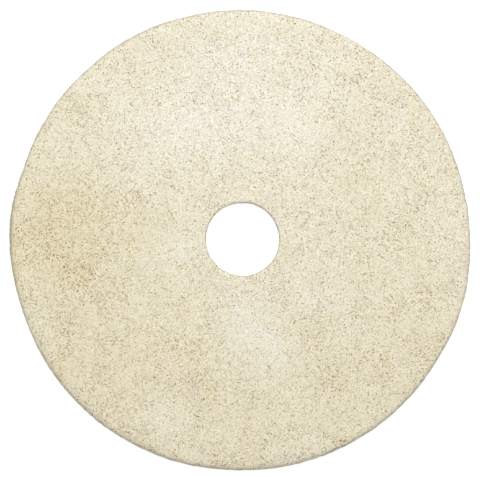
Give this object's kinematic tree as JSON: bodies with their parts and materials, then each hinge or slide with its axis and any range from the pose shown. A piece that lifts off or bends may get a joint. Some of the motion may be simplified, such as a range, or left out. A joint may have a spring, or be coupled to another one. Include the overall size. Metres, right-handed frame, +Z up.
{
  "type": "floor polishing pad",
  "caption": "Thick round floor polishing pad of non-woven hair and polyester web, cream with brown flecks, with a centre hole for the pad driver's lock.",
  "frame": {"origin": "middle of the disc's outline, on the face that lies on the floor", "axes": "+Z up along the pad's axis, through its thickness; +Y towards the top of the picture and +X towards its right"},
  "size_m": [0.5107, 0.5092, 0.0254],
  "materials": {
    "fibre_web": "dull, open, resin-bonded non-woven web of cream polyester with brown natural hair"
  },
  "bodies": {
    "root": {"polishing_pad": "fibre_web"}
  },
  "joints": []
}
